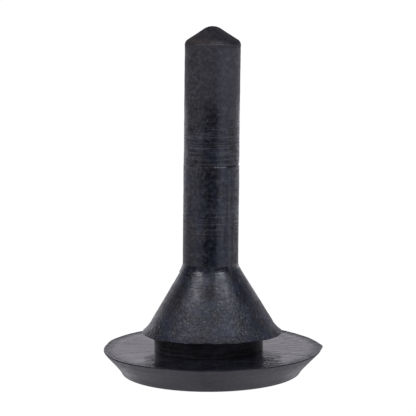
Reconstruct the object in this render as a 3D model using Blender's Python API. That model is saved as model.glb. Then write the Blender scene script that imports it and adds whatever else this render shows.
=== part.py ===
"""Pull-through rubber bumper plug: head disc, groove neck, retaining cone and flexible pull stem.

Metres, +Z up. The origin is the centre of the head's flat resting face and +Z runs up the stem.
The real plug is one moulding. Each object below is one section of it, split where the shape changes,
and neighbouring sections stand SECTION_GAP apart.
"""

from math import acos, atan2, cos, pi, radians, sin, tan

import bmesh
import bpy
from mathutils import Vector

MM = 0.001

# Head disc: flat underneath, side leaning in towards the bottom, thin upright land at the rim.
HEAD_R = 12.70
HEAD_H = 2.85
HEAD_BOTTOM_R = 10.40
HEAD_RIM_LAND = 0.15
HEAD_EDGE_FILLET = 0.35

# Groove between the head and the retaining cone, and the neck that fills its middle.
NECK_R = 6.40
GROOVE_H = 2.10
NECK_ROOT = 0.20

# Retaining cone with its flared lip.
LIP_R = 8.20
LIP_LAND = 0.08
LIP_FLARE_H = 0.85
CONE_BASE_R = 7.25
CONE_TOP_R = 3.48
CONE_H = 7.20

# Pull stem: a straight round bar with a flare at its root and a drill-point tip.
STEM_R = 3.20
STEM_ROOT_FLARE_H = 0.90
SHOULDER_Z = 38.80
SHOULDER_FILLET = 0.90
TIP_HALF_ANGLE = radians(56.5)
TIP_RADIUS = 1.80

# Where the stem bends: each flexible length turns about the hinge at its middle.
FLEX_LOWER_TOP_Z = 22.15
FLEX_UPPER_BOTTOM_Z = 27.75
FLEX_UPPER_TOP_Z = 36.25

# A thin gap between sections, so that no two solids touch.
SECTION_GAP = 0.05
STEPS = 96

GROOVE_TOP_Z = HEAD_H + GROOVE_H
CONE_TOP_Z = GROOVE_TOP_Z + CONE_H
TIP_START_Z = SHOULDER_Z - 0.75
HINGE_LOWER_Z = 0.5 * (CONE_TOP_Z + FLEX_LOWER_TOP_Z)
HINGE_UPPER_Z = 0.5 * (FLEX_UPPER_BOTTOM_Z + FLEX_UPPER_TOP_Z)


def clear_scene():
    for obj in list(bpy.data.objects):
        bpy.data.objects.remove(obj, do_unlink=True)


def rubber(name, colour, roughness):
    material = bpy.data.materials.new(name)
    material.use_nodes = True
    shader = material.node_tree.nodes["Principled BSDF"]
    shader.inputs["Base Color"].default_value = (*colour, 1.0)
    shader.inputs["Roughness"].default_value = roughness
    shader.inputs["Metallic"].default_value = 0.0
    return material


def arc(before, corner, after, radius, steps=6):
    """Points that round the corner of a polyline with a fillet, all in millimetres as (r, z)."""
    before, corner, after = Vector(before), Vector(corner), Vector(after)
    back = (before - corner).normalized()
    ahead = (after - corner).normalized()
    half = 0.5 * acos(max(-1.0, min(1.0, back.dot(ahead))))
    first = corner + back * (radius / tan(half))
    last = corner + ahead * (radius / tan(half))
    centre = corner + (back + ahead).normalized() * (radius / sin(half))
    start = atan2(first.y - centre.y, first.x - centre.x)
    turn = atan2(last.y - centre.y, last.x - centre.x) - start
    turn = (turn + pi) % (2.0 * pi) - pi
    points = []
    for step in range(steps + 1):
        angle = start + turn * step / steps
        points.append((centre.x + radius * cos(angle), centre.y + radius * sin(angle)))
    return points


def turned(name, profile, material, hinge=None):
    """A closed body of revolution from an (r, z) profile that starts and ends on the axis."""
    base_z = hinge.matrix_world.translation.z / MM if hinge else 0.0
    mesh = bpy.data.meshes.new(name)
    bm = bmesh.new()
    ring = [bm.verts.new((r * MM, 0.0, (z - base_z) * MM)) for r, z in profile]
    edges = [bm.edges.new(pair) for pair in zip(ring[:-1], ring[1:])]
    bmesh.ops.spin(
        bm,
        geom=ring + edges,
        cent=(0.0, 0.0, 0.0),
        axis=(0.0, 0.0, 1.0),
        angle=2.0 * pi,
        steps=STEPS,
        use_duplicate=False,
    )
    bmesh.ops.remove_doubles(bm, verts=bm.verts, dist=1e-6)
    bmesh.ops.recalc_face_normals(bm, faces=bm.faces)
    bm.to_mesh(mesh)
    bm.free()
    obj = bpy.data.objects.new(name, mesh)
    bpy.context.scene.collection.objects.link(obj)
    obj.data.materials.append(material)
    if hinge:
        obj.parent = hinge
    mesh.shade_smooth()
    mesh.set_sharp_from_angle(angle=radians(25.0))
    return obj


def hinge_empty(name, z, parent=None):
    empty = bpy.data.objects.new(name, None)
    empty.empty_display_size = 0.004
    bpy.context.scene.collection.objects.link(empty)
    if parent:
        empty.parent = parent
        empty.location = (0.0, 0.0, z * MM - parent.matrix_world.translation.z)
    else:
        empty.location = (0.0, 0.0, z * MM)
    bpy.context.view_layer.update()
    return empty


def head_profile():
    rim_low = (HEAD_R, HEAD_H - HEAD_RIM_LAND)
    points = [(0.0, 0.0)]
    points += arc((0.0, 0.0), (HEAD_BOTTOM_R, 0.0), rim_low, HEAD_EDGE_FILLET)
    points.append(rim_low)
    points.append((HEAD_R, HEAD_H))
    points.append((NECK_R + SECTION_GAP, HEAD_H))
    points.append((NECK_R + SECTION_GAP, HEAD_H - NECK_ROOT))
    points.append((0.0, HEAD_H - NECK_ROOT))
    return points


def neck_profile():
    bottom = HEAD_H - NECK_ROOT + SECTION_GAP
    top = GROOVE_TOP_Z + NECK_ROOT - SECTION_GAP
    return [(0.0, bottom), (NECK_R, bottom), (NECK_R, top), (0.0, top)]


def cone_profile():
    points = [
        (0.0, GROOVE_TOP_Z + NECK_ROOT),
        (NECK_R + SECTION_GAP, GROOVE_TOP_Z + NECK_ROOT),
        (NECK_R + SECTION_GAP, GROOVE_TOP_Z),
        (LIP_R, GROOVE_TOP_Z),
        (LIP_R, GROOVE_TOP_Z + LIP_LAND),
    ]
    points += arc(
        (LIP_R, GROOVE_TOP_Z + LIP_LAND),
        (CONE_BASE_R, GROOVE_TOP_Z + LIP_FLARE_H),
        (CONE_TOP_R, CONE_TOP_Z),
        1.5,
        4,
    )
    points.append((CONE_TOP_R, CONE_TOP_Z))
    points.append((0.0, CONE_TOP_Z))
    return points


def lower_flex_profile():
    bottom = CONE_TOP_Z + SECTION_GAP
    points = [(0.0, bottom)]
    for step in range(6):
        share = step / 5.0
        flare = (CONE_TOP_R - STEM_R) * (1.0 - share) ** 2
        points.append((STEM_R + flare, bottom + share * STEM_ROOT_FLARE_H))
    points.append((STEM_R, FLEX_LOWER_TOP_Z))
    points.append((0.0, FLEX_LOWER_TOP_Z))
    return points


def rod_profile(bottom, top):
    return [(0.0, bottom), (STEM_R, bottom), (STEM_R, top), (0.0, top)]


def tip_profile():
    apex = SHOULDER_Z + STEM_R / tan(TIP_HALF_ANGLE)
    bottom = TIP_START_Z + SECTION_GAP
    points = [(0.0, bottom)]
    points += arc(
        (STEM_R, bottom),
        (STEM_R, SHOULDER_Z),
        (0.0, apex),
        SHOULDER_FILLET,
        8,
    )
    centre = apex - TIP_RADIUS / sin(TIP_HALF_ANGLE)
    for step in range(9):
        angle = TIP_HALF_ANGLE + (0.5 * pi - TIP_HALF_ANGLE) * step / 8.0
        points.append((TIP_RADIUS * cos(angle), centre + TIP_RADIUS * sin(angle)))
    points[-1] = (0.0, centre + TIP_RADIUS)
    return points


def main():
    clear_scene()
    head_black = rubber("head_rubber", (0.035, 0.034, 0.038), 0.36)
    neck_black = rubber("neck_rubber", (0.018, 0.018, 0.020), 0.40)
    cone_black = rubber("cone_rubber", (0.026, 0.027, 0.031), 0.42)
    stem_black = rubber("stem_rubber", (0.026, 0.026, 0.030), 0.45)
    tip_black = rubber("tip_rubber", (0.030, 0.029, 0.032), 0.55)

    hinge_lower = hinge_empty("hinge_stem_lower", HINGE_LOWER_Z)
    hinge_upper = hinge_empty("hinge_stem_upper", HINGE_UPPER_Z, hinge_lower)

    turned("head_disc", head_profile(), head_black)
    turned("neck", neck_profile(), neck_black)
    turned("retaining_cone", cone_profile(), cone_black)

    # The flexible lengths bend along their whole height about the hinge at their middle.
    turned("stem_flex_lower", lower_flex_profile(), stem_black)
    mid = rod_profile(FLEX_LOWER_TOP_Z + SECTION_GAP, FLEX_UPPER_BOTTOM_Z)
    turned("stem_mid", mid, stem_black, hinge_lower)
    upper = rod_profile(FLEX_UPPER_BOTTOM_Z + SECTION_GAP, FLEX_UPPER_TOP_Z)
    turned("stem_flex_upper", upper, stem_black, hinge_lower)
    top = rod_profile(FLEX_UPPER_TOP_Z + SECTION_GAP, TIP_START_Z)
    turned("stem_top", top, stem_black, hinge_upper)
    turned("stem_tip", tip_profile(), tip_black, hinge_upper)


main()
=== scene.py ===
"""Looks of the pull-through rubber bumper plug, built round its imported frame.

The plug is one black rubber moulding. Each skin below is a closed, finely turned mesh that stands for one
or two sections of the frame. Lengths are in millimetres until a mesh is made; +Z runs up the stem and the
front is towards -Y.
"""

from math import acos, atan2, cos, exp, hypot, pi, radians, sin, tan

import bpy
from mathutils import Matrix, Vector, noise


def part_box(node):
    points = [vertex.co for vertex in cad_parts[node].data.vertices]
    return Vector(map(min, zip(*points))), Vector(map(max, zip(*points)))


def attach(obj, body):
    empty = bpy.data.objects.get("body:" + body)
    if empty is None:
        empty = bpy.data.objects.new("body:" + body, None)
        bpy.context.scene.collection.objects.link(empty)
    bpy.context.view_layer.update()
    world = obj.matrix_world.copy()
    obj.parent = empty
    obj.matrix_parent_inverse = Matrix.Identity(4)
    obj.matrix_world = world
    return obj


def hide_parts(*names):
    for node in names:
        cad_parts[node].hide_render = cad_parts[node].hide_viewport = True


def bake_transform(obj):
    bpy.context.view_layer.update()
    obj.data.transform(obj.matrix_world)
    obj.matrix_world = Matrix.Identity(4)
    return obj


MM = 0.001

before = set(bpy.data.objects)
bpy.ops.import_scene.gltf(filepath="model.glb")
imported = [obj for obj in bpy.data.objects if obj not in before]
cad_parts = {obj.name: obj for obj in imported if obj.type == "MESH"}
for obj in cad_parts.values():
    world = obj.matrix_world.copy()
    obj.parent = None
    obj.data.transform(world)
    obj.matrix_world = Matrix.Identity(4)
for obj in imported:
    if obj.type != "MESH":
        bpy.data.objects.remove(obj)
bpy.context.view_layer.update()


def node_box(name):
    """Radius, bottom and top of a frame node, in millimetres."""
    low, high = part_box(name)
    return high.x / MM, low.z / MM, high.z / MM


HEAD_R, _, HEAD_TOP = node_box("head_disc")
NECK_R, _, _ = node_box("neck")
LIP_R, GROOVE_TOP, CONE_TOP = node_box("retaining_cone")
STEM_R, _, STEM_SPLIT = node_box("stem_mid")
_, TIP_START, TIP_TOP = node_box("stem_tip")

# Head: its lower edge and the fillet there, how far the side hollows, how much more it does so at the left,
# and how far the base draws in at both sides and further at the left.
HEAD_BOTTOM_R = 10.78
HEAD_EDGE_FILLET = 0.28
HEAD_HOLLOW = 0.14
LEFT_HOLLOW = 0.07
BASE_DRAW = 0.30
BASE_DRAW_LEFT = 0.18

# The head's rim from below to above, as (inset from HEAD_R, rise over HEAD_TOP).
RIM_EDGE = (
    (0.06, -0.14),
    (0.01, -0.09),
    (0.0, -0.03),
    (0.03, 0.01),
    (0.09, 0.03),
    (0.18, 0.03),
    (0.32, 0.01),
    (0.48, 0.0),
)

# The rim stands out all round, and more at the right.
RIM_OUT = 0.07
RIM_OUT_RIGHT = 0.16

# Unevenness round the rim, as (degrees, millimetres, width in radians): outward bumps with a corner of
# flash at the right, and waves in its height.
RIM_BUMPS = (
    (1, 0.22, 0.08),
    (17, -0.13, 0.10),
    (31, -0.12, 0.16),
    (161, 0.11, 0.14),
    (208, 0.26, 0.45),
    (320, 0.07, 0.30),
)
RIM_WAVES = (
    (50, 0.055, 0.12),
    (133, 0.03, 0.2),
    (30, -0.02, 0.2),
)

# Sideways sets of the neck, and of the cone and the stem at their lower and upper ends.
NECK_SET = -0.36
CONE_SETS = (0.05, -0.04)
STEM_SETS = (-0.16, 0.15)
TIP_SET_BACK = 0.05

# Retaining cone: a thin lip that flares out from the base radius, and droops at both sides but less at
# the right. The cone's side goes on inside the stem.
LIP_LAND = 0.03
LIP_FLARE_H = 1.00
LIP_DROOP = 0.24
LIP_LIFT_RIGHT = 0.04
CONE_BASE_R = 7.20
CONE_TOP_R = 3.49
CONE_TUCK_R = 0.18
CONE_TUCK_H = 0.30

# Stem: it stands proud of the frame's bar, and the flare at its root goes on inside the cone. The mould
# line is a small step with a fine groove, which is a nick at the right.
STEM_PROUD = 0.035
ROOT_FLARE = 0.27
ROOT_FLARE_H = 1.05
ROOT_TUCK_R = 0.115
MOULD_LINE = 24.6
MOULD_STEP = 0.025
MOULD_GROOVE = 0.006
MOULD_NICK = 0.10

# Drill-point tip: its shoulder, and a fine parting ridge below it that bows down towards the sides.
SHOULDER_ABOVE_START = 0.70
SHOULDER_FILLET = 0.70
RIDGE_ABOVE_START = 0.46
RIDGE_BOW = 0.018
RIDGE_H = 0.02
TIP_HALF_ANGLE = radians(56.5)
TIP_RADIUS = 1.80

# How far a skin reaches into its neighbour, so that no gap shows between them, and how far the stem's
# skins draw in there.
OVERLAP = 0.25
OVERLAP_INSET = 0.04

SEGMENTS = 192
SHARP_ANGLE = radians(40.0)


# ---------------------------------------------------------------- small helpers


def mix(a, b, share):
    """a at share 0 and b at share 1."""
    return a + (b - a) * share


def smooth(start, end, x):
    """0 before start, 1 after end, and a smooth step between them."""
    share = min(1.0, max(0.0, (x - start) / (end - start)))
    return share * share * (3.0 - 2.0 * share)


def bump(x, centre, width):
    """A soft hump of height 1 at centre."""
    return exp(-(((x - centre) / width) ** 2))


def turn_between(angle, centre):
    """The angle from centre to angle, between -pi and pi."""
    return (angle - centre + pi) % (2.0 * pi) - pi


def hump_at(angle, degrees, width):
    """A soft hump of height 1 in one direction, width in radians."""
    return bump(turn_between(angle, radians(degrees)), 0.0, width)


def lumps(angle, radius, z, size, seed=0.0):
    """Smooth noise of about -0.5 to 0.5 over the surface, with features about size millimetres across."""
    point = Vector((radius * cos(angle), radius * sin(angle), z)) / size
    return noise.noise(point + Vector((seed, 2.0 * seed, -seed)))


def fillet(before, corner, after, radius, steps):
    """Points that round the corner of an outline, as (r, z)."""
    before, corner, after = Vector(before), Vector(corner), Vector(after)
    back = (before - corner).normalized()
    ahead = (after - corner).normalized()
    half = 0.5 * acos(max(-1.0, min(1.0, back.dot(ahead))))
    first = corner + back * (radius / tan(half))
    last = corner + ahead * (radius / tan(half))
    centre = corner + (back + ahead).normalized() * (radius / sin(half))
    start = atan2(first.y - centre.y, first.x - centre.x)
    turn = turn_between(atan2(last.y - centre.y, last.x - centre.x), start)
    points = []
    for step in range(steps + 1):
        angle = start + turn * step / steps
        points.append((centre.x + radius * cos(angle), centre.y + radius * sin(angle)))
    return points


def close_set(outline, spacing):
    """The same outline with extra points, so that no two are further apart than spacing."""
    points = [outline[0]]
    for (r0, z0), (r1, z1) in zip(outline[:-1], outline[1:]):
        count = max(1, round(hypot(r1 - r0, z1 - z0) / spacing))
        for step in range(1, count + 1):
            points.append((mix(r0, r1, step / count), mix(z0, z1, step / count)))
    return points


# ---------------------------------------------------------------- skins


def cone_lean(z):
    """Sideways set of the retaining cone."""
    return mix(*CONE_SETS, smooth(GROOVE_TOP, CONE_TOP, z))


def stem_lean(z):
    """Sideways set of the stem, which leans a little to the right, and of its tip, which is set back."""
    lean = mix(*STEM_SETS, (z - CONE_TOP) / (TIP_TOP - CONE_TOP))
    return lean - TIP_SET_BACK * smooth(TIP_START, TIP_TOP, z)


def turned_skin(name, outline, relief):
    """A closed skin turned from an (r, z) outline that starts and ends on the axis.

    relief(angle, r, z) gives each point's outward, upward and sideways set in millimetres. The mesh keeps
    where each point was before that, as the attribute "rest", for the materials to read.
    """
    points, rest, rings = [], [], []
    for r, z in outline:
        count = 1 if r < 1e-6 else SEGMENTS
        rings.append(range(len(points), len(points) + count))
        for step in range(count):
            angle = 2.0 * pi * step / SEGMENTS
            out, up, side = relief(angle, r, z)
            wide = r + out if count > 1 else 0.0
            points.append((wide * cos(angle) + side, wide * sin(angle), z + up))
            rest.append((r * cos(angle), r * sin(angle), z))
    faces = []
    for low, high in zip(rings[:-1], rings[1:]):
        for step in range(SEGMENTS):
            after = (step + 1) % SEGMENTS
            if len(low) == 1:
                faces.append((low[0], high[after], high[step]))
            elif len(high) == 1:
                faces.append((low[step], low[after], high[0]))
            else:
                faces.append((low[step], low[after], high[after], high[step]))
    mesh = bpy.data.meshes.new(name)
    mesh.from_pydata([Vector(point) * MM for point in points], [], faces)
    kept = mesh.attributes.new("rest", "FLOAT_VECTOR", "POINT")
    kept.data.foreach_set("vector", [value for point in rest for value in point])
    mesh.shade_smooth()
    mesh.set_sharp_from_angle(angle=SHARP_ANGLE)
    obj = bpy.data.objects.new(name, mesh)
    bpy.context.scene.collection.objects.link(obj)
    return obj


def rim_set(angle):
    """How far the moulded rim stands out at an angle: a flash with a corner at the right."""
    out = RIM_OUT + RIM_OUT_RIGHT * cos(angle)
    for degrees, amount, width in RIM_BUMPS:
        out += amount * hump_at(angle, degrees, width)
    out += 0.04 * lumps(angle, HEAD_R, 0.0, 3.0)
    return out + 0.02 * lumps(angle, HEAD_R, 0.0, 0.8, 4.0)


def rim_wave(angle):
    """How far the rim stands up at an angle."""
    return sum(amount * hump_at(angle, degrees, width) for degrees, amount, width in RIM_WAVES)


def head_skin():
    """Flat disc whose side leans in to the bottom and hollows slightly, with a thin flash at the rim."""
    rim = [(HEAD_R - inset, HEAD_TOP + rise) for inset, rise in RIM_EDGE]
    side = []
    steps = 12
    for step in range(1, steps):
        share = step / steps
        r = mix(HEAD_BOTTOM_R, rim[0][0], share) - HEAD_HOLLOW * sin(pi * share)
        side.append((r, mix(0.0, rim[0][1], share)))
    outline = [(0.0, 0.0)]
    outline += fillet((0.0, 0.0), (HEAD_BOTTOM_R, 0.0), side[0], HEAD_EDGE_FILLET, 5)
    outline += side + rim + [(0.0, HEAD_TOP)]

    def relief(angle, r, z):
        height = z / HEAD_TOP
        edge = smooth(0.6 * HEAD_R, HEAD_R, r)
        out = rim_set(angle) * edge * smooth(0.1, 0.9, height)
        out += 0.012 * edge * lumps(angle, r, z, 1.1, 5.0)
        left = max(0.0, -cos(angle))
        draw = BASE_DRAW * cos(angle) ** 2 + BASE_DRAW_LEFT * left**4
        out -= edge * LEFT_HOLLOW * left * bump(height, 0.38, 0.3)
        out -= edge * draw * bump(height, 0.0, 0.35)
        # The head tilts up to the right, least at its back left.
        tilt = cos(angle) * (1.0 - 0.9 * hump_at(angle, 145.0, 0.6))
        up = tilt * (r / HEAD_R) * mix(0.06, 0.10, height)
        up += 0.010 * lumps(angle, r, z, 2.5, 9.0) * smooth(0.5, 1.0, height)
        up += rim_wave(angle) * height * smooth(0.85 * HEAD_R, HEAD_R, r)
        return out, up, mix(-0.16, 0.0, height) * min(1.0, r / 5.0)

    return turned_skin("head_skin", close_set(outline, 0.22), relief)


def neck_skin():
    """The groove's round middle."""
    bottom, top = HEAD_TOP - OVERLAP, GROOVE_TOP + OVERLAP
    outline = [(0.0, bottom), (NECK_R, bottom), (NECK_R, top), (0.0, top)]

    def relief(angle, r, z):
        foot = bump(z, HEAD_TOP, 0.25) * max(0.0, lumps(angle, r, 0.0, 1.5, 8.0))
        out = min(1.0, r) * (0.04 * lumps(angle, r, z, 1.4, 3.0) + 0.15 * foot)
        return out, 0.0, NECK_SET

    return turned_skin("neck_skin", close_set(outline, 0.15), relief)


def cone_skin():
    """Retaining cone with a thin flared lip and a slightly wavy side."""
    outline = [(0.0, GROOVE_TOP), (NECK_R, GROOVE_TOP)]
    outline += [(LIP_R - 0.06, GROOVE_TOP - 0.01), (LIP_R, GROOVE_TOP)]
    steps = 10
    for step in range(steps + 1):
        share = step / steps
        out = (LIP_R - CONE_BASE_R) * (1.0 - share) ** 1.25
        outline.append((CONE_BASE_R + out, GROOVE_TOP + mix(LIP_LAND, LIP_FLARE_H, share)))
    outline.append((CONE_TOP_R, CONE_TOP))
    outline.append((CONE_TOP_R - CONE_TUCK_R, CONE_TOP + CONE_TUCK_H))
    outline.append((0.0, CONE_TOP + CONE_TUCK_H))

    def relief(angle, r, z):
        wall = smooth(2.5, 3.4, r) * smooth(GROOVE_TOP, GROOVE_TOP + 0.3, z)
        lip = smooth(NECK_R, LIP_R, r)
        rim = lip * bump(z, GROOVE_TOP, 0.5)
        out = wall * (0.035 * lumps(angle, r, z, 2.2, 1.0) + 0.015 * lumps(angle, r, z, 0.6, 2.0))
        ragged = 0.05 * lumps(angle, LIP_R, 0.0, 2.0, 4.0) + 0.08 * lumps(angle, LIP_R, 0.0, 0.45, 7.0)
        out += rim * ragged
        droop = LIP_LIFT_RIGHT * cos(angle) - LIP_DROOP * cos(angle) ** 2
        up = lip * bump(z, GROOVE_TOP, 1.0) * droop + rim * 0.08 * lumps(angle, LIP_R, 0.0, 1.2, 6.0)
        return out, up, cone_lean(z)

    return turned_skin("cone_skin", close_set(outline, 0.14), relief)


def stem_relief(angle, r, z):
    """Gentle waviness, the mould line, and the tip's parting ridge."""
    wall = smooth(1.5, 3.0, r)
    waves = 0.022 * lumps(angle, r, z, 2.0, 1.0) + 0.012 * lumps(angle, r, z, 0.6, 2.0)
    depth = mix(MOULD_GROOVE, MOULD_NICK, smooth(0.2, 0.7, cos(angle + 0.8)))
    step = MOULD_STEP * (1.0 - smooth(MOULD_LINE - 0.1, MOULD_LINE + 0.1, z))
    groove = depth * bump(z, MOULD_LINE, 0.09) - step
    bow = RIDGE_BOW * (r * cos(angle)) ** 2
    ridge = RIDGE_H * bump(z + bow, TIP_START + RIDGE_ABOVE_START, 0.06)
    return wall * waves + wall * (STEM_PROUD + ridge - groove), 0.0, stem_lean(z)


def lower_stem_skin():
    """Lower length of the stem, with the flare at its root and the mould line."""
    root = STEM_R + ROOT_FLARE + ROOT_TUCK_R
    outline = [(0.0, CONE_TOP - OVERLAP), (root, CONE_TOP - OVERLAP)]
    steps = 8
    for step in range(steps + 1):
        share = step / steps
        outline.append((STEM_R + ROOT_FLARE * (1.0 - share) ** 2.2, CONE_TOP + share * ROOT_FLARE_H))
    outline += [(STEM_R, STEM_SPLIT), (0.0, STEM_SPLIT)]
    skin = turned_skin("lower_stem_skin", close_set(outline, 0.10), stem_relief)
    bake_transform(skin)
    return skin


def upper_stem_skin():
    """Upper length of the stem, up to the tip."""
    outline = [(0.0, STEM_SPLIT - OVERLAP), (STEM_R - OVERLAP_INSET, STEM_SPLIT - OVERLAP)]
    outline += [(STEM_R, STEM_SPLIT), (STEM_R, TIP_START), (0.0, TIP_START)]
    skin = turned_skin("upper_stem_skin", close_set(outline, 0.10), stem_relief)
    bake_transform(skin)
    return skin


def tip_skin():
    """Drill-point tip: a rounded shoulder with a fine parting ridge, a straight cone and a small dome."""
    shoulder = TIP_START + SHOULDER_ABOVE_START
    apex = shoulder + STEM_R / tan(TIP_HALF_ANGLE)
    foot = (STEM_R, TIP_START)
    outline = [(0.0, TIP_START - OVERLAP), (STEM_R - OVERLAP_INSET, TIP_START - OVERLAP)]
    outline += close_set([foot] + fillet(foot, (STEM_R, shoulder), (0.0, apex), SHOULDER_FILLET, 20), 0.035)
    centre = apex - TIP_RADIUS / sin(TIP_HALF_ANGLE)
    steps = 8
    for step in range(steps + 1):
        angle = mix(TIP_HALF_ANGLE, 0.5 * pi, step / steps)
        outline.append((TIP_RADIUS * cos(angle), centre + TIP_RADIUS * sin(angle)))
    outline[-1] = (0.0, centre + TIP_RADIUS)
    return turned_skin("tip_skin", close_set(outline, 0.14), stem_relief)


# ---------------------------------------------------------------- materials


# Base colours: the rubber, dust on it, single grains of dust, and the bloom of each section. The neck's
# bloom is paler, as painted fill light in its shaded groove.
BLACK = (0.0062, 0.0066, 0.0098)
DUST = (0.18, 0.18, 0.19)
DUST_GRAIN = (0.22, 0.22, 0.24)
GREYISH = (0.020, 0.021, 0.028)
BLUISH = (0.010, 0.016, 0.034)
BROWNISH = (0.040, 0.030, 0.025)
NECK_BLOOM_AND_PAINTED_FILL = (0.075, 0.077, 0.100)

# Tint of the head's reflections.
HEAD_TINT = (1.0, 0.97, 0.98)

# Heights on the stem: two bands of turned lines, each with its start, full, fade and end, and where the
# stem turns matt.
LOWER_LINES = (15.8, 17.0, 19.0, 20.6)
UPPER_LINES = (23.6, 25.0, 28.5, 30.5)
MATT_FROM = (29.8, 33.4)

# Heights on the cone where its dusty lower part gives way to the rings above.
CONE_DUST = (8.0, 9.8)
CONE_RINGS = (8.5, 9.5)


def node(tree, kind, inputs=None, **settings):
    """A new shader node. An input is a value or the socket that it is linked from."""
    made = tree.nodes.new(kind)
    for key, value in settings.items():
        setattr(made, key, value)
    for key, value in (inputs or {}).items():
        if isinstance(value, bpy.types.NodeSocket):
            tree.links.new(value, made.inputs[key])
        else:
            made.inputs[key].default_value = value
    return made


def calculate(tree, operation, *values):
    """One step of arithmetic."""
    made = node(tree, "ShaderNodeMath", dict(enumerate(values)), operation=operation)
    return made.outputs["Value"]


def ramp(tree, value, start, end, low=0.0, high=1.0):
    """value taken smoothly from start..end to low..high."""
    inputs = {"Value": value, "From Min": start, "From Max": end, "To Min": low, "To Max": high}
    made = node(tree, "ShaderNodeMapRange", inputs, interpolation_type="SMOOTHSTEP", clamp=True)
    return made.outputs["Result"]


def grain(tree, place, scale, detail=2.0, stretch=(1.0, 1.0, 1.0), seed=0.0):
    """Noise over the surface, with scale features to the millimetre before stretch."""
    moved = node(
        tree, "ShaderNodeMapping", {"Vector": place, "Scale": stretch, "Location": (seed, seed, seed)}
    )
    inputs = {"Vector": moved.outputs["Vector"], "Scale": scale, "Detail": detail, "Roughness": 0.55}
    return node(tree, "ShaderNodeTexNoise", inputs).outputs["Fac"]


def blend_colour(tree, share, low, high):
    """A colour between low and high."""
    made = node(tree, "ShaderNodeMix", {"Factor": share}, data_type="RGBA")
    for socket, colour in (("A", low), ("B", high)):
        target = [s for s in made.inputs if s.name == socket and s.type == "RGBA"][0]
        if isinstance(colour, bpy.types.NodeSocket):
            tree.links.new(colour, target)
        else:
            target.default_value = (*colour, 1.0)
    return [s for s in made.outputs if s.type == "RGBA"][0]


def level(tree, share, low, high):
    """A number between low and high."""
    made = node(tree, "ShaderNodeMix", {0: share, 2: low, 3: high}, data_type="FLOAT")
    return made.outputs[0]


def product(tree, *values):
    """All the values multiplied."""
    result = values[0]
    for value in values[1:]:
        result = calculate(tree, "MULTIPLY", result, value)
    return result


def total(tree, *values):
    """All the values added."""
    result = values[0]
    for value in values[1:]:
        result = calculate(tree, "ADD", result, value)
    return result


def window(tree, value, start, full, fade, end):
    """1 where value is between full and fade, and 0 before start and after end."""
    return product(tree, ramp(tree, value, start, full), ramp(tree, value, fade, end, 1.0, 0.0))


def rubber(
    name,
    roughness,
    spread,
    speckle,
    blotch,
    grit,
    extra,
    patches=0.5,
    bloom=GREYISH,
    tint=None,
    ior=1.48,
):
    """Black moulded rubber: patchy bloom, soft blotches, pale specks, a few dust grains and fine relief.

    spread is how much the roughness wanders. speckle, blotch and patches are the strengths of the specks,
    the blotches and the bloom, and grit is the height of the fine relief in millimetres.
    extra(tree, place, x, z) gives a share of dust and of painted light and shade for the colour, roughness
    to add, and relief in millimetres to add.
    """
    material = bpy.data.materials.new(name)
    material.use_nodes = True
    tree = material.node_tree
    shader = tree.nodes["Principled BSDF"]
    kept = node(tree, "ShaderNodeAttribute", attribute_name="rest", attribute_type="GEOMETRY")
    place = kept.outputs["Vector"]
    split = node(tree, "ShaderNodeSeparateXYZ", {"Vector": place})
    x, z = split.outputs["X"], split.outputs["Z"]
    dust_and_painted_light, rougher, raised = extra(tree, place, x, z)

    # Bloom, then the pale specks, blotches, dust and painted light and shade on it.
    cloud = ramp(tree, grain(tree, place, 0.5, 4.0), 0.40, 0.66)
    cloud = product(tree, cloud, patches, bloom_fade(tree, z))
    colour = blend_colour(tree, cloud, BLACK, bloom)
    fine = ramp(tree, grain(tree, place, 4.2, 1.0, seed=3.0), 0.60, 0.69)
    coarse = ramp(tree, grain(tree, place, 1.3, 3.0, seed=5.0), 0.46, 0.64)
    specks = product(tree, fine, total(tree, product(tree, coarse, 0.9), 0.15), speckle)
    soft = product(tree, ramp(tree, grain(tree, place, 1.9, 3.0, seed=9.0), 0.42, 0.64), blotch)
    colour = blend_colour(tree, total(tree, specks, soft, dust_and_painted_light), colour, DUST)

    # A single grain of dust in a few of the cells.
    cells = node(tree, "ShaderNodeTexVoronoi", {"Vector": place, "Scale": 1.6})
    speck = ramp(tree, cells.outputs["Distance"], 0.07, 0.13, 1.0, 0.0)
    chance = node(tree, "ShaderNodeSeparateColor", {"Color": cells.outputs["Color"]}).outputs["Red"]
    dust = product(tree, speck, ramp(tree, chance, 0.91, 0.95))
    colour = blend_colour(tree, product(tree, dust, 0.4), colour, DUST_GRAIN)
    tree.links.new(colour, shader.inputs["Base Color"])

    mottle = grain(tree, place, 1.6, 3.0, seed=7.0)
    mottle = ramp(tree, mottle, 0.36, 0.64, roughness - spread, roughness + spread)
    tree.links.new(total(tree, mottle, rougher), shader.inputs["Roughness"])

    pores = product(tree, grain(tree, place, 3.4, 3.0, seed=11.0), grit)
    height = total(tree, pores, product(tree, dust, 0.02), raised)
    relief = node(tree, "ShaderNodeBump", {"Strength": 1.0, "Distance": MM, "Height": height})
    tree.links.new(relief.outputs["Normal"], shader.inputs["Normal"])
    shader.inputs["IOR"].default_value = ior
    if tint:
        shader.inputs["Specular Tint"].default_value = (*tint, 1.0)
    return material


def bloom_fade(tree, z):
    """The bloom is strong low on the plug and on the tip, and faint on the matt upper end of the stem."""
    faded = ramp(tree, z, 26.0, 30.0, 1.0, 0.1)
    return total(tree, faded, ramp(tree, z, TIP_START, TIP_START + 0.5, 0.0, 0.9))


def turned_lines(tree, place, amount):
    """Fine rings that a cutter left in the mould, stronger in some patches than in others."""
    rings = grain(tree, place, 1.0, 2.0, stretch=(0.3, 0.3, 4.6), seed=13.0)
    where = ramp(tree, grain(tree, place, 0.4, 2.0, seed=17.0), 0.38, 0.60, 0.25, 1.0)
    return product(tree, rings, where, amount)


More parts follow.
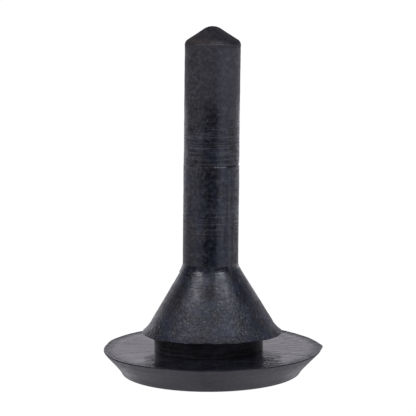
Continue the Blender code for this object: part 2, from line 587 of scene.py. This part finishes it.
def stem_detail(tree, place, x, z):
    """Lines all the way, strongest and palest in two bands; the upper end is matt and more grey, and its
    right side is lighter, as painted light.

    The left side is scuffed with pale flecks, and the right has soft streaks that run up the stem.
    """
    matt = ramp(tree, z, *MATT_FROM)
    band = total(tree, window(tree, z, *UPPER_LINES), window(tree, z, *LOWER_LINES))
    lines = turned_lines(tree, place, total(tree, product(tree, band, 0.050), 0.030))
    rings = grain(tree, place, 1.0, 1.0, stretch=(0.25, 0.25, 5.0), seed=43.0)
    pale_rings = product(tree, ramp(tree, rings, 0.50, 0.62), band, 0.14)
    left = product(tree, ramp(tree, x, -1.9, -0.6, 1.0, 0.0), ramp(tree, z, 15.0, 17.5, 0.2, 1.0))
    flecks = product(tree, ramp(tree, grain(tree, place, 3.0, 2.0, seed=47.0), 0.50, 0.68), left, 0.16)
    right = product(tree, ramp(tree, x, 0.8, 1.6), ramp(tree, z, 23.5, 25.5, 1.0, 0.0))
    run = grain(tree, place, 1.0, 2.0, stretch=(1.8, 1.8, 0.10), seed=19.0)
    streaks = product(tree, ramp(tree, run, 0.46, 0.64), right, 0.16)
    # Grey dust on the matt upper end, plus painted light: more grey towards the right, and a lighter right
    # side from 26 mm up, standing in for the right softbox's light.
    matt_grey_and_painted_right_light = total(
        tree,
        product(tree, matt, ramp(tree, x, -1.8, -0.4, 0.042, 0.094)),
        product(tree, ramp(tree, z, 26.0, 29.5), ramp(tree, x, 0.3, 1.4, 0.0, 0.080)),
    )
    dust_and_painted_light = total(tree, matt_grey_and_painted_right_light, pale_rings, flecks, streaks)
    return dust_and_painted_light, product(tree, matt, 0.30), lines


def tip_detail(tree, place, x, z):
    """A light line on the shoulder's ridge, partly wear and partly a painted highlight, clearest in the
    middle, and thin dust below it.
    """
    bowed = total(tree, z, product(tree, x, x, RIDGE_BOW))
    ridge = TIP_START + RIDGE_ABOVE_START
    away = calculate(tree, "ABSOLUTE", calculate(tree, "SUBTRACT", bowed, ridge))
    patchy = ramp(tree, grain(tree, place, 0.8, 3.0, seed=23.0), 0.38, 0.62, 0.30, 1.0)
    middle = ramp(tree, calculate(tree, "ABSOLUTE", x), 1.7, 2.5, 1.0, 0.15)
    # The ridge's light line is wear plus a painted highlight, brightest in the middle and fading towards
    # the sides.
    wear_and_painted_highlight = product(tree, ramp(tree, away, 0.02, 0.07, 0.42, 0.0), patchy, middle)
    below = ramp(tree, bowed, ridge - 0.04, ridge, 0.14, 0.0)
    return total(tree, wear_and_painted_highlight, below), 0.0, 0.0


def cone_detail(tree, place, x, z):
    """Fine rings that fade at the very top; the lower half has dust and pits, and is darker at the left,
    where painted shade holds back the dust.
    """
    low = ramp(tree, z, *CONE_DUST, 1.0, 0.0)
    # Painted shade: a negative share that takes the dust and specks off the lower left of the cone to
    # darken it.
    painted_left_shade = product(tree, low, ramp(tree, x, -7.0, -4.0, -0.16, 0.0))
    flecks = ramp(tree, grain(tree, place, 3.8, 2.0, seed=29.0), 0.58, 0.68)
    dust_and_painted_light = total(tree, product(tree, flecks, total(tree, product(tree, low, 0.16), 0.05)), painted_left_shade)
    pits = product(tree, grain(tree, place, 3.0, 2.0, seed=31.0), low, 0.11)
    top = ramp(tree, z, CONE_TOP - 1.0, CONE_TOP - 0.4, 1.0, 0.3)
    rings = product(tree, turned_lines(tree, place, ramp(tree, z, *CONE_RINGS, 0.015, 0.075)), top)
    rougher = product(tree, low, ramp(tree, x, -7.0, -4.0, -0.08, 0.10))
    return dust_and_painted_light, rougher, total(tree, pits, rings)


def neck_detail(tree, place, x, z):
    """Faint rings and a thin even dust."""
    rings = grain(tree, place, 1.0, 2.0, stretch=(0.25, 0.25, 3.6), seed=59.0)
    dust_and_painted_light = total(tree, product(tree, ramp(tree, rings, 0.42, 0.62), 0.12), 0.08)
    return dust_and_painted_light, 0.0, product(tree, rings, 0.05)


def head_detail(tree, place, x, z):
    """Rings near the rim, faint streaks out from the middle, scuffs at the right, and a duller rim."""
    flat = {0: place, 1: (1.0, 1.0, 0.0)}
    across = node(tree, "ShaderNodeVectorMath", flat, operation="MULTIPLY").outputs["Vector"]
    radius = node(tree, "ShaderNodeVectorMath", {0: across}, operation="LENGTH").outputs["Value"]
    spread = node(tree, "ShaderNodeVectorMath", {0: across}, operation="NORMALIZE").outputs["Vector"]
    ring_place = node(tree, "ShaderNodeCombineXYZ", {"X": radius, "Z": z}).outputs[0]
    rings = grain(tree, ring_place, 3.4, 2.0, seed=37.0)
    near_rim = ramp(tree, radius, 9.0, 12.0, 0.2, 1.0)
    streaks = grain(tree, spread, 9.0, 3.0, seed=41.0)
    scuffs = grain(tree, place, 1.3, 3.0, stretch=(0.5, 1.6, 1.0), seed=53.0)
    raised = total(
        tree,
        product(tree, rings, near_rim, 0.048),
        product(tree, streaks, 0.022),
        product(tree, scuffs, ramp(tree, x, 3.0, 9.0), 0.045),
    )
    return 0.0, ramp(tree, radius, 11.0, 12.4, 0.0, 0.20), raised


# ---------------------------------------------------------------- assembling


def dress(skin, material, nodes, body=None):
    """Give a skin its material and slot, attach it to a body if one is given, and hide the frame nodes it
    stands for.
    """
    skin.data.materials.append(material)
    if body:
        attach(skin, body)
    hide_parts(*nodes)


head_rubber = rubber(
    "head_rubber",
    roughness=0.13,
    spread=0.05,
    speckle=0.15,
    blotch=0.03,
    grit=0.012,
    extra=head_detail,
    tint=HEAD_TINT,
)
# The neck's paler bloom is painted fill light that lifts the shaded groove.
neck_rubber = rubber(
    "neck_rubber",
    roughness=0.30,
    spread=0.04,
    speckle=0.04,
    blotch=0.04,
    grit=0.010,
    extra=neck_detail,
    patches=0.35,
    bloom=NECK_BLOOM_AND_PAINTED_FILL,
    ior=1.18,
)
cone_rubber = rubber(
    "cone_rubber",
    roughness=0.38,
    spread=0.06,
    speckle=0.42,
    blotch=0.02,
    grit=0.024,
    extra=cone_detail,
    patches=0.75,
    bloom=BLUISH,
)
stem_rubber = rubber(
    "stem_rubber",
    roughness=0.22,
    spread=0.05,
    speckle=0.24,
    blotch=0.10,
    grit=0.026,
    extra=stem_detail,
    bloom=BLUISH,
)
tip_rubber = rubber(
    "tip_rubber",
    roughness=0.66,
    spread=0.14,
    speckle=0.14,
    blotch=0.05,
    grit=0.045,
    extra=tip_detail,
    patches=0.55,
    bloom=BROWNISH,
    ior=1.38,
)

dress(head_skin(), head_rubber, ["head_disc"], "plug_base")
dress(neck_skin(), neck_rubber, ["neck"], "plug_base")
dress(cone_skin(), cone_rubber, ["retaining_cone"], "plug_base")
dress(lower_stem_skin(), stem_rubber, ["stem_flex_lower", "stem_mid"])
dress(upper_stem_skin(), stem_rubber, ["stem_flex_upper", "stem_top"])
dress(tip_skin(), tip_rubber, ["stem_tip"], "stem_end")


# ---------------------------------------------------------------- studio


# Floor: how far it lies below the plug in millimetres, its half width in metres, and the white that the
# camera sees.
FLOOR_DROP = 0.08
FLOOR_HALF = 20.0
WHITE_LEVEL = 1.02

# Tints of the studio, of its bluer parts and of the right softbox.
STUDIO_TINT = (1.03, 1.0, 1.09)
BLUE_TINT = (0.92, 0.99, 1.32)
RIGHT_TINT = (0.98, 1.0, 1.16)

# Azimuths of the table's edges beside the dark gap, in degrees: 0 is in front, and goes to the right.
FAR_LEFT_EDGE = (-56.0, -50.0)
LEFT_EDGE = (-33.0, -27.0)
RIGHT_EDGE = (23.5, 28.0)

# Camera, in metres and degrees.
CAMERA_TARGET = (-0.00043, 0.0, 0.01941)
CAMERA_DISTANCE = 0.1986
CAMERA_PITCH = 7.47
CAMERA_LENS = 147.1


def floor():
    """A wide white floor that takes no shadow and that the rubber doesn't mirror."""
    mesh = bpy.data.meshes.new("floor")
    half = FLOOR_HALF
    corners = [(-half, -half, 0), (half, -half, 0), (half, half, 0), (-half, half, 0)]
    mesh.from_pydata(corners, [], [(0, 1, 2, 3)])
    obj = bpy.data.objects.new("floor", mesh)
    bpy.context.scene.collection.objects.link(obj)
    obj.location.z = -FLOOR_DROP * MM
    material = bpy.data.materials.new("white_floor")
    material.use_nodes = True
    tree = material.node_tree
    tree.nodes.remove(tree.nodes["Principled BSDF"])
    glow = node(tree, "ShaderNodeEmission", {"Color": (1.0, 1.0, 1.0, 1.0), "Strength": WHITE_LEVEL})
    tree.links.new(glow.outputs["Emission"], tree.nodes["Material Output"].inputs["Surface"])
    mesh.materials.append(material)
    obj.visible_diffuse = False
    obj.visible_glossy = False
    obj.visible_shadow = False
    obj.visible_transmission = False
    obj.visible_volume_scatter = False


def studio_world():
    """White table round a dark gap at the front, a white wall behind, and a dim room above."""
    world = bpy.data.worlds.new("studio")
    world.use_nodes = True
    tree = world.node_tree
    tree.nodes.clear()
    direction = node(tree, "ShaderNodeTexCoord").outputs["Generated"]
    split = node(tree, "ShaderNodeSeparateXYZ", {"Vector": direction})
    x, y, z = (split.outputs[axis] for axis in "XYZ")
    azimuth = calculate(tree, "ARCTAN2", x, calculate(tree, "MULTIPLY", y, -1.0))
    turn = calculate(tree, "ABSOLUTE", azimuth)

    def over(angle, start, end, low=0.0, high=1.0):
        """A ramp over an angle, from start to end in degrees."""
        return ramp(tree, angle, radians(start), radians(end), low, high)

    # The table near the plug, left and right of the gap.
    left = total(tree, over(azimuth, *FAR_LEFT_EDGE, 0.39, 0.0), over(azimuth, *LEFT_EDGE, 0.67, 0.0))
    right = over(azimuth, *RIGHT_EDGE)
    right_gain = ramp(tree, z, -0.12, -0.06, 0.90, 1.85)
    sides = over(turn, 52.0, 108.0, 0.88, 0.58)
    glare = product(tree, right, over(azimuth, 48.0, 64.0, 0.10, 0.0))
    lower = ramp(tree, z, -0.18, -0.05, 0.47, 1.12)
    lower = total(tree, lower, ramp(tree, z, -0.50, -0.30, 0.50, 0.0))
    near = product(tree, sides, total(tree, left, product(tree, right, right_gain)))
    near = product(tree, total(tree, near, glare, 0.04), lower)

    # The table under the plug.
    away = product(tree, calculate(tree, "MAXIMUM", y, 0.0), 0.55)
    aside = product(tree, calculate(tree, "ABSOLUTE", x), 0.58)
    under = total(tree, 0.62, product(tree, y, -0.85), away, aside)
    table = level(tree, ramp(tree, z, -0.62, -0.85), near, under)

    # The room: the wall behind, the ceiling and the front.
    wall = total(tree, ramp(tree, z, 0.05, 0.40, 0.48, 0.0), ramp(tree, z, 0.30, 0.60, 0.36, 0.0))
    back = product(tree, over(turn, 105.0, 145.0), wall)
    ceiling = ramp(tree, z, 0.84, 0.94, 0.0, 0.20)
    front = over(turn, 50.0, 85.0, 0.12, 0.0)
    room = total(tree, product(tree, back, ramp(tree, x, -0.08, 0.08, 1.01, 0.86)), ceiling, front, 0.07)
    light = level(tree, ramp(tree, z, -0.06, 0.03), table, room)

    # The table is bluer beside the gap.
    blue_left = product(tree, over(azimuth, *FAR_LEFT_EDGE), over(azimuth, *LEFT_EDGE, 1.0, 0.0))
    blue_right = product(tree, right, over(azimuth, 68.0, 90.0, 1.0, 0.0))
    low_fade, high_fade = ramp(tree, z, -0.70, -0.55), ramp(tree, z, -0.12, -0.05, 1.0, 0.1)
    blue = product(tree, total(tree, blue_left, blue_right), low_fade, high_fade)
    colour = blend_colour(tree, blue, STUDIO_TINT, BLUE_TINT)

    studio = node(tree, "ShaderNodeBackground", {"Color": colour, "Strength": light})
    white = node(tree, "ShaderNodeBackground", {"Color": (1.0, 1.0, 1.0, 1.0), "Strength": WHITE_LEVEL})
    seen = node(tree, "ShaderNodeLightPath").outputs["Is Camera Ray"]
    both = node(tree, "ShaderNodeMixShader", {0: seen, 1: studio.outputs[0], 2: white.outputs[0]})
    output = node(tree, "ShaderNodeOutputWorld")
    tree.links.new(both.outputs[0], output.inputs["Surface"])
    bpy.context.scene.world = world


def soft_light(name, azimuth, elevation, half_width, radiance, tint, distance=0.5):
    """A round soft light that faces the plug. Azimuth 0 is in front, and goes to the right."""
    centre = Vector((0.0, 0.0, 0.5 * TIP_TOP * MM))
    a, e = radians(azimuth), radians(elevation)
    away = Vector((sin(a) * cos(e), -cos(a) * cos(e), sin(e)))
    radius = distance * tan(radians(half_width))
    data = bpy.data.lights.new(name, "AREA")
    data.shape = "DISK"
    data.size = 2.0 * radius
    data.energy = radiance * pi * pi * radius * radius
    data.color = tint
    obj = bpy.data.objects.new(name, data)
    bpy.context.scene.collection.objects.link(obj)
    obj.location = centre + away * distance
    obj.rotation_mode = "QUATERNION"
    obj.rotation_quaternion = away.to_track_quat("Z", "Y")
    obj.visible_camera = False


def camera():
    """A long lens in front of the plug, looking slightly down on it."""
    pitch = radians(CAMERA_PITCH)
    data = bpy.data.cameras.new("camera")
    data.sensor_width = 36.0
    data.lens = CAMERA_LENS
    data.clip_start = 0.01
    data.clip_end = 100.0
    obj = bpy.data.objects.new("camera", data)
    bpy.context.scene.collection.objects.link(obj)
    obj.location = Vector(CAMERA_TARGET) + CAMERA_DISTANCE * Vector((0.0, -cos(pitch), sin(pitch)))
    obj.rotation_euler = (0.5 * pi - pitch, 0.0, 0.0)
    bpy.context.scene.camera = obj


floor()
studio_world()
soft_light("left_softbox", azimuth=-57.0, elevation=48.0, half_width=16.0, radiance=5.4, tint=STUDIO_TINT)
soft_light("right_softbox", azimuth=47.0, elevation=50.0, half_width=16.0, radiance=5.5, tint=RIGHT_TINT)
camera()
bpy.context.scene.view_settings.view_transform = "Standard"
